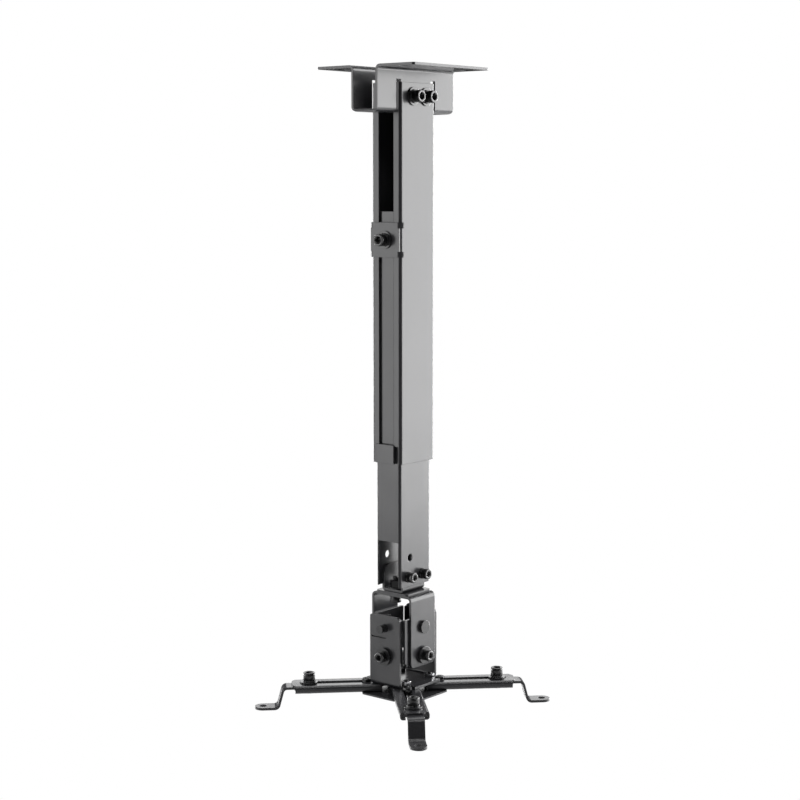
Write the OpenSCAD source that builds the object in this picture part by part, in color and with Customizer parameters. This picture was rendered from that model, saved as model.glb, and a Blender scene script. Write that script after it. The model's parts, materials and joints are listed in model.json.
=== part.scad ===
// Telescoping ceiling mount for a projector, folded from sheet steel.
// The ceiling is the plane z = 0 and the column hangs down along the z axis.
// The broad faces of the column look along y and its open side looks along -x.

/* [Sheets] */
// Thickness of the folded ceiling bracket
bracket_sheet = 2; // [1.5:0.1:3]
// Wall of the two column channels
tube_sheet = 1.5; // [1.2:0.1:2]
// Thickness of the swivel base, yoke, cross and lower bracket
head_sheet = 2; // [1.5:0.1:2.5]
// Wall of the four arm channels
arm_sheet = 1.5; // [1.2:0.1:2]
// Thickness of the centre plate under the arms
plate_sheet = 1.2; // [1:0.1:1.6]
// Thickness of the four foot strips
foot_sheet = 2; // [1.5:0.1:2.5]

/* [Ceiling bracket] */
// Length of the bracket along x
bracket_length = 93; // [80:1:120]
// Height of the channel under the ceiling
bracket_height = 35; // [28:0.5:45]
// Width across both flanges
flange_span = 96; // [84:1:120]
// Distance of the flange slots from the middle, along x
flange_slot_x = 37.5; // [30:0.5:42]
// Distance of the flange slots from the middle, across
flange_slot_y = 33; // [26:0.5:42]
// Width of a flange slot
flange_slot_width = 7; // [5:0.5:8]
// Full length of a flange slot
flange_slot_length = 11; // [8:0.5:16]
// Height of the column slots above the top of the column
slot_headroom = 2; // [1:0.5:4]
// Width of the slot that clears the open side of the column
front_slot_width = 5.6; // [4:0.1:8]
// Width of the slot that clears the back of the column
back_slot_width = 5.2; // [4:0.1:8]

/* [Outer tube] */
// Width of the outer tube across its broad faces
outer_width = 42; // [36:0.5:50]
// Depth of the outer tube between its broad faces
outer_depth = 29; // [26:0.5:36]
// Length of the outer tube
outer_length = 295; // [240:1:340]
// Distance from the ceiling to the top of the outer tube
outer_drop = 12.2; // [8:0.1:16]
// Outside bend radius of the outer tube
outer_bend = 2.3; // [1.8:0.1:4]
// Width of the opening between the two lips
lip_gap = 14.8; // [12:0.1:18]
// Height of the stop tab at the bottom of the opening
stop_tab_height = 14.8; // [10:0.1:20]
// Distance that the stop tab stands out from the lips
stop_tab_proud = 1; // [0.6:0.1:1.4]
// Reach of the stop tab past the middle of the opening
stop_tab_reach = 7.9; // [6:0.1:9]

/* [Inner tube] */
// Gap between the two tubes along x
slide_gap_x = 0.5; // [0.3:0.1:1]
// Gap between the two tubes across
slide_gap_y = 0.8; // [0.3:0.1:1.2]
// Length of the inner tube
inner_length = 296; // [240:1:340]
// Distance from the ceiling to the top of the inner tube
inner_drop = 110.5; // [100:0.5:120]
// Outside bend radius of the inner tube
inner_bend = 2; // [1.6:0.1:3]
// Width of each lip on the closed back side
inner_lip = 6; // [4:0.5:9]
// Height of the cut-away at the bottom of the web
notch_height = 36.3; // [28:0.1:44]
// Diameter of the spare hole above the base bolts
spare_hole = 6; // [4:0.1:7]
// Height of the spare hole above the bottom of the inner tube
spare_hole_rise = 23.1; // [20:0.1:26]
// Distance of the spare hole from the middle, toward the open side
spare_hole_x = 6.6; // [0:0.1:9]

/* [Top bolts] */
// Diameter of the large bolt heads
head_large = 9.4; // [8:0.1:10]
// Height of the large bolt heads
head_large_height = 6; // [5:0.1:6.5]
// Shank diameter of the large bolts
shank_large = 6; // [5:0.1:6]
// Outside diameter of the flat washers
washer_large = 14; // [12:0.1:15]
// Thickness of the flat washers
washer_sheet = 1.2; // [0.8:0.1:1.8]
// Outside diameter of the spring washers under the large bolt heads
spring_outer = 10.6; // [10:0.1:12]
// Thickness of the spring washers
spring_sheet = 1.3; // [0.8:0.1:1.8]
// Position of the first top bolt along x
top_bolt_front = -5.5; // [-9:0.1:-4]
// Position of the second top bolt along x
top_bolt_back = 10; // [6:0.1:13]
// Distance from the ceiling to the top bolts
top_bolt_drop = 22.6; // [18:0.1:26]
// Play between a shank and its plain hole, on the radius
hole_play = 0.25; // [0.2:0.05:0.4]

/* [Clamp] */
// Height of the clamp plate
clamp_height = 27; // [22:0.5:34]
// Distance from the ceiling to the middle of the clamp plate
clamp_drop = 132.3; // [126:0.1:140]
// Height of each bent clamp tab
clamp_tab_height = 4.5; // [3:0.1:6]
// Reach of the clamp tabs back along the column
clamp_tab_reach = 3.5; // [2:0.1:5]
// Inside bend radius of the clamp tabs
clamp_bend = 0.5; // [0.3:0.1:1]

/* [Swivel] */
// Width of the swivel base along x
base_width = 27.2; // [24:0.2:30]
// Rise of the rounded base ears above the bottom of the inner tube
base_ear_rise = 15.5; // [12:0.5:18]
// Distance from the bottom of the inner tube to the underside of the base
base_below = 5; // [3.5:0.5:8]
// Distance of the base bolts from the middle, along x
base_bolt_x = 8.8; // [7:0.1:10]
// Height of the base bolts above the bottom of the inner tube
base_bolt_rise = 7.8; // [6.5:0.1:9]
// Thickness of the plate on top of the yoke
spacer_sheet = 1.5; // [1:0.1:2]
// Distance of the swivel lock bolt from the swivel axis
lock_offset = 9.6; // [9:0.1:10]
// Swivel to each side in degrees
swivel_angle = 20; // [5:1:20]

/* [Tilt head] */
// Width of the yoke along x
yoke_width = 30; // [26:0.5:34]
// Width across the outside of the yoke
yoke_span = 40.4; // [38:0.2:46]
// Distance from the underside of the base to the two crossed pivot axes
pivot_below = 27.8; // [26:0.1:32]
// Distance from the pivot axes to the bottom of the yoke
yoke_below = 31.7; // [29:0.1:33]
// Distance of the lock bolts under the pivot axes
lock_drop = 22.8; // [20:0.1:24]
// Diameter of the flat pivot pin heads
pin_head = 10.4; // [9:0.1:12]
// Thickness of the flat pivot pin heads
pin_head_height = 2.6; // [1.5:0.1:3.5]
// Diameter of the tilt pivot pins
pin_diameter = 6; // [5:0.1:7]
// Diameter of the roll pivot pins
stud_diameter = 6.4; // [5:0.1:7]
// Length of the roll pivot pins outside the bracket
stud_length = 6.5; // [4:0.1:9]
// Shank diameter of the lock bolts
shank_small = 5; // [4:0.1:5]
// Head diameter of the lock bolts
head_small = 8.6; // [7:0.1:9]
// Head height of the lock bolts
head_small_height = 5.4; // [4:0.1:6]
// Height of the pivot axes under the tops of the cross ears
ear_rise = 8; // [6:0.1:10]
// Half width of the cross ears that stand inside the yoke
cross_ear_x = 20; // [17:0.1:21]
// Half width of the cross floor where it bends up into these ears
cross_floor_x = 18.4; // [16:0.1:18.6]
// Half width of the cross ears that stand inside the lower bracket
cross_ear_y = 15; // [13:0.1:15.5]
// Corner radius at the tops of the cross ears
ear_corner = 1; // [0.5:0.1:3]
// Distance from the pivot axes to the underside of the cross
cross_below = 31.2; // [30.5:0.1:34]
// Width across the outside of the lower bracket walls
lower_span = 47; // [45:0.2:50]
// Width of the lower bracket walls
lower_width = 30.4; // [28:0.2:34]
// Rise of the lower bracket walls above the pivot axes
lower_rise = 10.2; // [8:0.1:12]
// Distance from the pivot axes to the underside of the lower bracket
lower_below = 47.4; // [44:0.1:52]
// Half length of the lower bracket floor across
floor_reach = 25; // [22:0.5:28]
// Half width of the lower bracket floor at its two ends
floor_end = 16; // [14:0.5:18]
// Inset of the floor corners from the outside of the walls
floor_inset = 3.5; // [3:0.5:5]
// Distance of the narrow wall slit under the pivot axes
slit_below = 8.6; // [8:0.1:12]
// Height of the narrow wall slit
slit_height = 0.9; // [0.6:0.1:1.4]
// Length of the narrow wall slit
slit_length = 14.4; // [10:0.1:14.6]
// Reach of the wall slit past the middle of the wall
slit_past = 1.1; // [0:0.1:3]
// Diameter of the flange on the inner end of a pin
pin_flange = 9; // [8:0.1:10]
// Thickness of the flange on the inner end of a pin
pin_flange_height = 1.2; // [0.8:0.1:1.6]
// Tilt and roll to each side in degrees
tilt_angle = 12; // [5:1:12]

/* [Arms] */
// Distance of an arm pivot bolt from the middle
arm_pivot = 21; // [19:0.1:23]
// Distance of an arm lock bolt from the middle
arm_lock = 29.5; // [29.3:0.1:31]
// Turn of an arm to each side in degrees
arm_angle = 12; // [4:1:12]
// Width of an arm channel
arm_width = 22.6; // [20:0.2:26]
// Height of an arm channel
arm_height = 6.2; // [6:0.1:9]
// Distance from the middle to the end of an arm
arm_end = 90; // [72:0.5:120]
// Length of the flat nose past the ends of the arm's side walls
arm_nose = 2.5; // [1:0.5:4]
// Corner radius of the flat nose
nose_corner = 5; // [2:0.5:8]
// Outside bend radius of an arm channel
arm_bend = 2.2; // [1.8:0.1:3]
// Width of each rolled-in bottom lip of an arm
arm_lip = 2.8; // [2:0.1:3]
// Width of the long arm slot
arm_slot = 6.8; // [6.4:0.1:8]
// Distance from the middle to the outer end of the arm slot
arm_slot_end = 83.8; // [60:0.1:112]
// Height of the nuts on the arm lock bolts
arm_nut_height = 2.6; // [2:0.1:3.2]
// Half width of the square centre plate
plate_half = 32; // [31:0.5:36]
// Size of its cut corners
plate_corner = 16; // [8:0.5:17]
// Shank diameter of the arm bolts
shank_arm = 4; // [3:0.1:4]

/* [Feet] */
// Distance from the middle to a foot bolt
foot_bolt = 76; // [60:0.5:100]
// Distance from a foot bolt to the upper bend of its strip
foot_bend = 17.8; // [14:0.1:24]
// Length of the foot tab from the lower bend to its screw hole
foot_tab = 9; // [8:0.1:14]
// Inside bend radius of the foot strip
foot_radius = 2.8; // [1.5:0.1:3.5]
// Width of the foot strip outside the arm
foot_width = 13.1; // [10:0.1:15]
// Width of the foot strip inside the arm
foot_head_width = 18.8; // [14:0.1:19]
// Reach of the wide foot head from its bolt toward the middle
foot_head_back = 9; // [7:0.5:12]
// Reach of the wide foot head from its bolt toward the foot
foot_head_front = 12; // [8:0.5:13]
// Diameter of the screw hole in a foot
foot_hole = 5.8; // [3:0.1:6.5]
// Distance from the underside of the arms to the underside of the feet
foot_step = 13.8; // [10:0.1:24]
// Slant of the foot leg from upright in degrees
foot_slant = 15; // [0:1:30]
// Height of the nuts under the foot strips
foot_nut_height = 4; // [2.5:0.1:5]

/* [Fits] */
// Running play of a pin in its bore, on the radius
pin_play = 0.08; // [0.02:0.01:0.1]
// Gap between flat faces that slide on each other
face_gap = 0.1; // [0.1:0.05:0.3]

/* [Hidden] */
$fn = 48;
steel_black = [0.13, 0.13, 0.14];
bolt_black = [0.07, 0.07, 0.08];
washer_grey = [0.2, 0.2, 0.22];

angle_left = 135;
angle_right = -45;
angle_front = -135;
angle_back = 45;

wall_out = outer_depth / 2 - tube_sheet;
bracket_bend = bracket_sheet + 2;
inner_width = outer_width - 2 * tube_sheet - 2 * slide_gap_x;
inner_depth = outer_depth - 2 * tube_sheet - 2 * slide_gap_y;
inner_bottom = -inner_drop - inner_length;
base_drop = base_below - inner_bottom;
base_ear_drop = -inner_bottom - base_ear_rise;
base_bolt_drop = -inner_bottom - base_bolt_rise;
base_out = inner_depth / 2 - tube_sheet - face_gap;
base_in = base_out - head_sheet;
stack = washer_sheet + spring_sheet;
clamp_front = -outer_width / 2 - face_gap - tube_sheet;
spacer_top = -base_drop - face_gap;
yoke_top = spacer_top - spacer_sheet;
yoke_under = yoke_top - head_sheet;
yoke_in = yoke_span / 2 - head_sheet;
cross_out_y = yoke_in - face_gap;
cross_in_y = cross_out_y - head_sheet;
lower_in = lower_span / 2 - head_sheet;
cross_out_x = lower_in - face_gap;
cross_in_x = cross_out_x - head_sheet;
pivot_z = -base_drop - pivot_below;
yoke_drop = yoke_below - pivot_z;
cross_drop = cross_below - pivot_z;
lower_drop = lower_below - pivot_z;
lock_z = pivot_z - lock_drop;
arm_top = -lower_drop - face_gap;
plate_top = arm_top - arm_height - face_gap;
plate_under = plate_top - plate_sheet;
foot_top = arm_top - arm_sheet - face_gap;
foot_under = foot_top - foot_sheet;
floor_top = -lower_drop + head_sheet;
foot_drop = foot_step + arm_height - arm_top;
foot_mid = foot_radius + foot_sheet / 2;
foot_low_z = -foot_drop + foot_sheet + foot_radius;
foot_high_z = foot_under - foot_radius;
foot_leg = (foot_high_z - foot_low_z + 2 * foot_mid * sin(foot_slant)) / cos(foot_slant);
foot_bend_x = foot_bolt + foot_bend;
foot_low_x = foot_bend_x + 2 * foot_mid * cos(foot_slant) + foot_leg * sin(foot_slant);
foot_hole_x = foot_low_x + foot_tab;

// Flat rectangle with four round corners
module rounded_rect(w, d, r) {
    square([w - 2 * r, d], center = true);
    square([w, d - 2 * r], center = true);
    for (sx = [-1, 1], sy = [-1, 1])
        translate([sx * (w / 2 - r), sy * (d / 2 - r)])
            circle(r = r);
}

// Quarter of a flat ring, opening toward the given quadrant
module quarter_ring(r_out, r_in, sx, sy) {
    intersection() {
        difference() {
            circle(r = r_out);
            circle(r = r_in);
        }
        translate([sx > 0 ? 0 : -r_out, sy > 0 ? 0 : -r_out])
            square([r_out, r_out]);
    }
}

// Section of a U folded from sheet: legs to each side and a floor at the bottom
module u_section(half, bottom, top, t, r) {
    translate([-half + r, bottom])
        square([2 * (half - r), t]);
    for (s = [-1, 1]) {
        translate([s > 0 ? half - t : -half, bottom + r])
            square([t, top - bottom - r]);
        translate([s * (half - r), bottom + r])
            quarter_ring(r, r - t, s, -1);
    }
}

// Straight prism along x from a section drawn in y and z
module along_x(length) {
    rotate([90, 0, 90])
        linear_extrude(height = length, center = true)
            children();
}

// Straight prism along y from a section drawn in x and z
module along_y(length) {
    rotate([90, 0, 0])
        linear_extrude(height = length, center = true)
            children();
}

// Arc slot around the z axis, centred on the given direction
module arc_slot(r, half, middle, swing, h) {
    rotate(middle - swing)
        rotate_extrude(angle = 2 * swing, $fn = 96)
            translate([r - half, 0])
                square([2 * half, h]);
    for (s = [-1, 1])
        rotate(middle + s * swing)
            translate([r, 0, 0])
                cylinder(r = half, h = h);
}

// Socket head bolt, head upward from the origin and shank downward
module cap_bolt(head_d, head_h, shank_d, length) {
    difference() {
        union() {
            cylinder(d = head_d, h = head_h);
            translate([0, 0, -length])
                cylinder(d = shank_d, h = length + 0.5);
        }
        translate([0, 0, head_h * 0.45])
            cylinder(d = head_d * 0.64, h = head_h, $fn = 6);
    }
}

// Low round head bolt, head upward from the origin and shank downward
module low_bolt(head_d, head_h, shank_d, length) {
    difference() {
        union() {
            cylinder(d = head_d, h = head_h);
            translate([0, 0, -length])
                cylinder(d = shank_d, h = length + 0.5);
        }
        translate([0, 0, head_h * 0.4])
            cylinder(d = head_d * 0.42, h = head_h, $fn = 6);
    }
}

// Flat washer standing on the origin
module washer(d_out, d_in, h) {
    difference() {
        cylinder(d = d_out, h = h);
        translate([0, 0, -1])
            cylinder(d = d_in, h = h + 2);
    }
}

// Split spring washer standing on the origin
module spring_washer(d_out, shank_d) {
    difference() {
        washer(d_out, shank_d + 2 * hole_play, spring_sheet);
        translate([0, -0.5, -1])
            cube([d_out, 1, spring_sheet + 2]);
    }
}

// Flat washer on the origin with a smaller spring washer on top of it
module large_washers() {
    washer(washer_large, shank_large + 2 * hole_play, washer_sheet);
    translate([0, 0, washer_sheet])
        spring_washer(spring_outer, shank_large);
}

// Spring washer on the origin with a wider flat washer on top of it
module lock_washers() {
    spring_washer(washer_large - 1, shank_small);
    translate([0, 0, spring_sheet])
        washer(washer_large, shank_small + 2 * hole_play, washer_sheet);
}

// Six-sided nut standing on the origin with its corners broken
module hex_nut(across_flats, bore_d, h) {
    corner = across_flats / cos(30) / 2;
    difference() {
        intersection() {
            cylinder(r = corner, h = h, $fn = 6);
            rotate_extrude()
                polygon([[0, 0], [across_flats / 2 + 0.2, 0], [corner, 0.4],
                         [corner, h - 0.4], [across_flats / 2 + 0.2, h], [0, h]]);
        }
        translate([0, 0, -1])
            cylinder(d = bore_d, h = h + 2);
    }
}

// Turns the local upward direction toward -y or +y
module facing_y(x, y, z, side) {
    translate([x, y, z])
        rotate([side < 0 ? 90 : -90, 0, 0])
            children();
}

// Turns the local upward direction toward -x or +x
module facing_x(x, y, z, side) {
    translate([x, y, z])
        rotate([0, side < 0 ? -90 : 90, 0])
            children();
}

module ceiling_bracket() {
    wall_y = wall_out - face_gap;
    color(steel_black)
    difference() {
        intersection() {
            along_x(bracket_length) {
                u_section(wall_y, -bracket_height, -bracket_bend, bracket_sheet, bracket_bend);
                for (s = [-1, 1]) {
                    translate([s > 0 ? wall_y - bracket_sheet + bracket_bend : -flange_span / 2,
                               -bracket_sheet])
                        square([flange_span / 2 - wall_y + bracket_sheet - bracket_bend,
                                bracket_sheet]);
                    translate([s * (wall_y - bracket_sheet + bracket_bend), -bracket_bend])
                        quarter_ring(bracket_bend, bracket_bend - bracket_sheet, -s, 1);
                }
            }
            translate([0, 0, -bracket_height - 1])
                linear_extrude(height = bracket_height + 2)
                    rounded_rect(bracket_length, flange_span, 2);
            translate([0, 0, 2 - bracket_height / 2])
                along_y(flange_span + 2)
                    rounded_rect(bracket_length, bracket_height + 4, 2.5);
        }
        // slots that the column slides up into
        for (s = [-1, 1]) {
            translate([-outer_width / 2 - 3.2, s > 0 ? lip_gap / 2 - 0.8 : -wall_out - 2,
                       -bracket_height - 1])
                cube([front_slot_width, wall_out + 2 - lip_gap / 2 + 0.8,
                      bracket_height + 1 - outer_drop + slot_headroom]);
        }
        translate([outer_width / 2 - back_slot_width + 2.2, -wall_out - 2, -bracket_height - 1])
            cube([back_slot_width, 2 * wall_out + 4,
                  bracket_height + 1 - outer_drop + slot_headroom]);
        // slots for the ceiling screws
        for (sx = [-1, 1], sy = [-1, 1])
            translate([sx * flange_slot_x, sy * flange_slot_y, -bracket_sheet - 1]) {
                for (e = [-1, 1])
                    translate([e * (flange_slot_length - flange_slot_width) / 2, 0, 0])
                        cylinder(d = flange_slot_width, h = bracket_sheet + 2);
                translate([-(flange_slot_length - flange_slot_width) / 2,
                           -flange_slot_width / 2, 0])
                    cube([flange_slot_length - flange_slot_width, flange_slot_width,
                          bracket_sheet + 2]);
            }
        for (x = [top_bolt_front, top_bolt_back])
            translate([x, 0, -top_bolt_drop])
                rotate([90, 0, 0])
                    cylinder(r = shank_large / 2 + hole_play, h = outer_depth, center = true);
    }
}

module outer_tube() {
    lip_x = -outer_width / 2;
    color(steel_black)
    difference() {
        union() {
            translate([0, 0, -outer_drop - outer_length])
                linear_extrude(height = outer_length)
                    difference() {
                        rounded_rect(outer_width, outer_depth, outer_bend);
                        rounded_rect(outer_width - 2 * tube_sheet,
                                     outer_depth - 2 * tube_sheet,
                                     outer_bend - tube_sheet);
                        translate([lip_x - 1, -lip_gap / 2])
                            square([tube_sheet + 2, lip_gap]);
                    }
            // stop tab that bridges the opening
            translate([lip_x - stop_tab_proud, -stop_tab_reach, -outer_drop - outer_length])
                cube([tube_sheet, stop_tab_reach + lip_gap / 2 + 2.6, stop_tab_height]);
        }
        // the other lip is cut short beside the tab
        translate([lip_x - 0.2, -outer_depth / 2 + outer_bend, -outer_drop - outer_length - 1])
            cube([tube_sheet + 0.3, outer_depth / 2 - outer_bend - stop_tab_reach,
                  stop_tab_height]);
        for (x = [top_bolt_front, top_bolt_back])
            translate([x, 0, -top_bolt_drop])
                rotate([90, 0, 0])
                    cylinder(r = shank_large / 2 + hole_play, h = outer_depth + 2, center = true);
    }
}

module top_bolts() {
    color(bolt_black)
    for (x = [top_bolt_front, top_bolt_back])
        facing_y(x, -outer_depth / 2 - stack, -top_bolt_drop, -1)
            cap_bolt(head_large, head_large_height, shank_large, outer_depth + stack + 7);
}

module top_washers() {
    color(washer_grey)
    for (x = [top_bolt_front, top_bolt_back])
        facing_y(x, -outer_depth / 2, -top_bolt_drop, -1)
            large_washers();
}

module top_nuts() {
    color(bolt_black)
    for (x = [top_bolt_front, top_bolt_back])
        facing_y(x, outer_depth / 2, -top_bolt_drop, 1)
            hex_nut(10, shank_large + 0.1, 5);
}

module inner_tube() {
    color(steel_black)
    difference() {
        translate([0, 0, inner_bottom])
            linear_extrude(height = inner_length)
                difference() {
                    rounded_rect(inner_width, inner_depth, inner_bend);
                    rounded_rect(inner_width - 2 * tube_sheet, inner_depth - 2 * tube_sheet,
                                 inner_bend - tube_sheet);
                    translate([inner_width / 2 - tube_sheet - 1, -inner_depth / 2 + inner_lip])
                        square([tube_sheet + 2, inner_depth - 2 * inner_lip]);
                }
        // cut-away that lets a spanner reach the swivel nut
        translate([-inner_width / 2 - 1, -inner_depth / 2 + inner_bend, inner_bottom - 1])
            cube([tube_sheet + 1.3, inner_depth - 2 * inner_bend, notch_height + 1]);
        translate([0, 0, -clamp_drop])
            rotate([0, -90, 0])
                cylinder(r = shank_large / 2 + hole_play, h = inner_width);
        translate([-spare_hole_x, 0, inner_bottom + spare_hole_rise])
            rotate([90, 0, 0])
                cylinder(d = spare_hole, h = inner_depth + 2, center = true);
        for (s = [-1, 1])
            facing_y(s * base_bolt_x, 0, -base_bolt_drop, -1)
                cylinder(r = shank_small / 2 + hole_play, h = inner_depth);
    }
}

module clamp_plate() {
    half_y = outer_depth / 2 + face_gap;
    bend_x = clamp_front + tube_sheet + clamp_bend;
    bend_y = half_y - clamp_bend;
    color(steel_black)
    difference() {
        union() {
            translate([clamp_front, -bend_y, -clamp_drop - clamp_height / 2])
                cube([tube_sheet, 2 * bend_y, clamp_height]);
            for (s = [-1, 1], v = [-1, 1])
                translate([0, 0, -clamp_drop + v * (clamp_height - clamp_tab_height) / 2]) {
                    translate([bend_x, s * bend_y])
                        linear_extrude(height = clamp_tab_height, center = true)
                            quarter_ring(tube_sheet + clamp_bend, clamp_bend, -1, s);
                    translate([bend_x, s > 0 ? half_y : -half_y - tube_sheet,
                               -clamp_tab_height / 2])
                        cube([clamp_tab_reach - clamp_bend, tube_sheet, clamp_tab_height]);
                }
        }
        translate([0, 0, -clamp_drop])
            rotate([0, -90, 0])
                cylinder(r = shank_large / 2 + hole_play, h = outer_width);
    }
}

module clamp_bolt() {
    color(bolt_black)
    facing_x(clamp_front - stack, 0, -clamp_drop, -1)
        cap_bolt(head_large, head_large_height, shank_large, stack + 12);
}

module clamp_washer() {
    color(washer_grey)
    facing_x(clamp_front, 0, -clamp_drop, -1)
        large_washers();
}

module clamp_nut() {
    color(bolt_black)
    facing_x(-inner_width / 2 + tube_sheet, 0, -clamp_drop, 1)
        hex_nut(10, shank_large + 0.1, 5);
}

module swivel_base() {
    color(steel_black)
    difference() {
        intersection() {
            along_x(base_width)
                u_section(base_out, -base_drop, -base_ear_drop, head_sheet, head_sheet + 0.6);
            along_y(inner_depth)
                translate([0, -(base_ear_drop + base_drop) / 2 - 4])
                    rounded_rect(base_width, base_drop - base_ear_drop + 8, 7);
        }
        translate([0, 0, -base_drop - 1])
            cylinder(r = pin_diameter / 2 + 0.05, h = head_sheet + 2);
        translate([0, 0, -base_drop - 1])
            arc_slot(lock_offset, shank_small / 2 + hole_play, 180, swivel_angle, head_sheet + 2);
        for (s = [-1, 1])
            facing_y(s * base_bolt_x, 0, -base_bolt_drop, -1)
                cylinder(r = shank_small / 2 + 0.05, h = inner_depth);
    }
}

module base_bolts() {
    color(bolt_black)
    for (s = [-1, 1])
        facing_y(s * base_bolt_x, -inner_depth / 2 - spring_sheet, -base_bolt_drop, -1) {
            cap_bolt(head_small - 0.4, head_small_height, shank_small,
                     spring_sheet + inner_depth / 2 - base_in + 1);
            translate([0, 0, -spring_sheet])
                cylinder(d = head_small, h = spring_sheet);
        }
}

module swivel_rivet() {
    color(washer_grey) {
        translate([0, 0, yoke_under - face_gap])
            cylinder(d = pin_diameter, h = -base_drop + head_sheet - yoke_under + face_gap);
        translate([0, 0, -base_drop + head_sheet])
            cylinder(d = 8, h = 1.5);
        translate([0, 0, yoke_under - face_gap - 1.4])
            cylinder(d = 8, h = 1.4);
    }
}

module spacer_plate() {
    color(steel_black)
    difference() {
        translate([0, 0, spacer_top - spacer_sheet])
            linear_extrude(height = spacer_sheet)
                rounded_rect(yoke_width, yoke_span - 8.4, 2);
        translate([0, 0, spacer_top - spacer_sheet - 1])
            cylinder(r = pin_diameter / 2 + pin_play, h = spacer_sheet + 2);
        translate([-lock_offset, 0, spacer_top - spacer_sheet - 1])
            cylinder(r = shank_small / 2 + hole_play, h = spacer_sheet + 2);
    }
}

module yoke() {
    color(steel_black)
    difference() {
        intersection() {
            along_x(yoke_width)
                mirror([0, 1])
                    translate([0, -yoke_top])
                        u_section(yoke_span / 2, 0, yoke_top + yoke_drop, head_sheet,
                                  head_sheet + 2);
            along_y(yoke_span + 2)
                translate([0, (yoke_top - yoke_drop) / 2 + 5])
                    rounded_rect(yoke_width, yoke_top + yoke_drop + 10, 4);
        }
        translate([0, 0, yoke_under - 1])
            cylinder(r = pin_diameter / 2 + pin_play, h = head_sheet + 2);
        translate([-lock_offset, 0, yoke_under - 1])
            cylinder(r = shank_small / 2 + hole_play, h = head_sheet + 2);
        translate([0, 0, pivot_z])
            rotate([90, 0, 0])
                cylinder(r = pin_diameter / 2 + 0.05, h = yoke_span + 2, center = true);
        translate([0, 0, lock_z])
            rotate([90, 0, 0])
                cylinder(r = shank_small / 2 + hole_play, h = yoke_span + 2, center = true);
    }
}

module swivel_lock_bolt() {
    length = head_sheet + spacer_sheet + 2 * face_gap + head_sheet + 10;
    color(bolt_black)
    translate([-lock_offset, 0, yoke_under])
        rotate([180, 0, 0])
            cap_bolt(head_small, head_small_height, shank_small, length);
}

module swivel_lock_washer() {
    color(washer_grey)
    translate([-lock_offset, 0, -base_drop + head_sheet + face_gap])
        washer(10, shank_small + 2 * hole_play, washer_sheet);
}

module swivel_lock_nut() {
    color(bolt_black)
    translate([-lock_offset, 0, -base_drop + head_sheet + face_gap + washer_sheet])
        hex_nut(8, shank_small + 0.1, 5.5);
}

module tilt_pins() {
    color(washer_grey)
    for (s = [-1, 1])
        facing_y(0, s * yoke_span / 2, pivot_z, s) {
            cylinder(d = pin_head, h = pin_head_height);
            translate([0, 0, -2 * head_sheet - 2 * face_gap])
                cylinder(d = pin_diameter, h = 2 * head_sheet + 2 * face_gap);
            translate([0, 0, -2 * head_sheet - 2 * face_gap - pin_flange_height])
                cylinder(d = pin_flange, h = pin_flange_height);
        }
}

module tilt_lock_bolts() {
    color(bolt_black)
    for (s = [-1, 1])
        facing_y(0, s * (yoke_span / 2 + stack), lock_z, s)
            cap_bolt(head_small, head_small_height, shank_small,
                     stack + 2 * head_sheet + 2 * face_gap + 6);
}

module tilt_washers() {
    color(washer_grey)
    for (s = [-1, 1])
        facing_y(0, s * yoke_span / 2, lock_z, s)
            lock_washers();
}

module tilt_nuts() {
    color(bolt_black)
    for (s = [-1, 1])
        facing_y(0, s * (cross_in_y - face_gap), lock_z, -s)
            hex_nut(8, shank_small + 0.1, 4);
}

module cross_bracket() {
    bend = head_sheet + 0.8;
    ear_top = pivot_z + ear_rise;
    color(steel_black)
    difference() {
        union() {
            intersection() {
                along_x(2 * cross_ear_x)
                    u_section(cross_out_y, -cross_drop, ear_top, head_sheet, bend);
                along_y(2 * cross_out_y + 2) {
                    // the ears widen above their bends
                    translate([0, (ear_top - cross_drop + bend + 1) / 2])
                        rounded_rect(2 * cross_ear_x, ear_top + cross_drop - bend - 1,
                                     ear_corner);
                    translate([-cross_floor_x, -cross_drop - 1])
                        square([2 * cross_floor_x, bend + 8]);
                }
            }
            intersection() {
                along_y(2 * cross_ear_y)
                    u_section(cross_out_x, -cross_drop, ear_top, head_sheet, bend);
                along_x(2 * cross_out_x + 2)
                    translate([0, (ear_top - cross_drop) / 2 - 3])
                        rounded_rect(2 * cross_ear_y, ear_top + cross_drop + 6,
                                     ear_corner);
            }
        }
        translate([0, 0, pivot_z])
            rotate([90, 0, 0])
                cylinder(r = pin_diameter / 2 + pin_play, h = yoke_span, center = true);
        translate([0, 0, pivot_z])
            rotate([0, 90, 0])
                cylinder(r = stud_diameter / 2 + pin_play, h = lower_span, center = true);
        // arc slots that the lock bolts travel in
        for (turn = [0, 90])
            translate([0, 0, pivot_z])
                rotate([90, 0, turn])
                    translate([0, 0, -lower_span / 2])
                        arc_slot(lock_drop, shank_small / 2 + hole_play, -90, tilt_angle,
                                 lower_span);
    }
}

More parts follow.
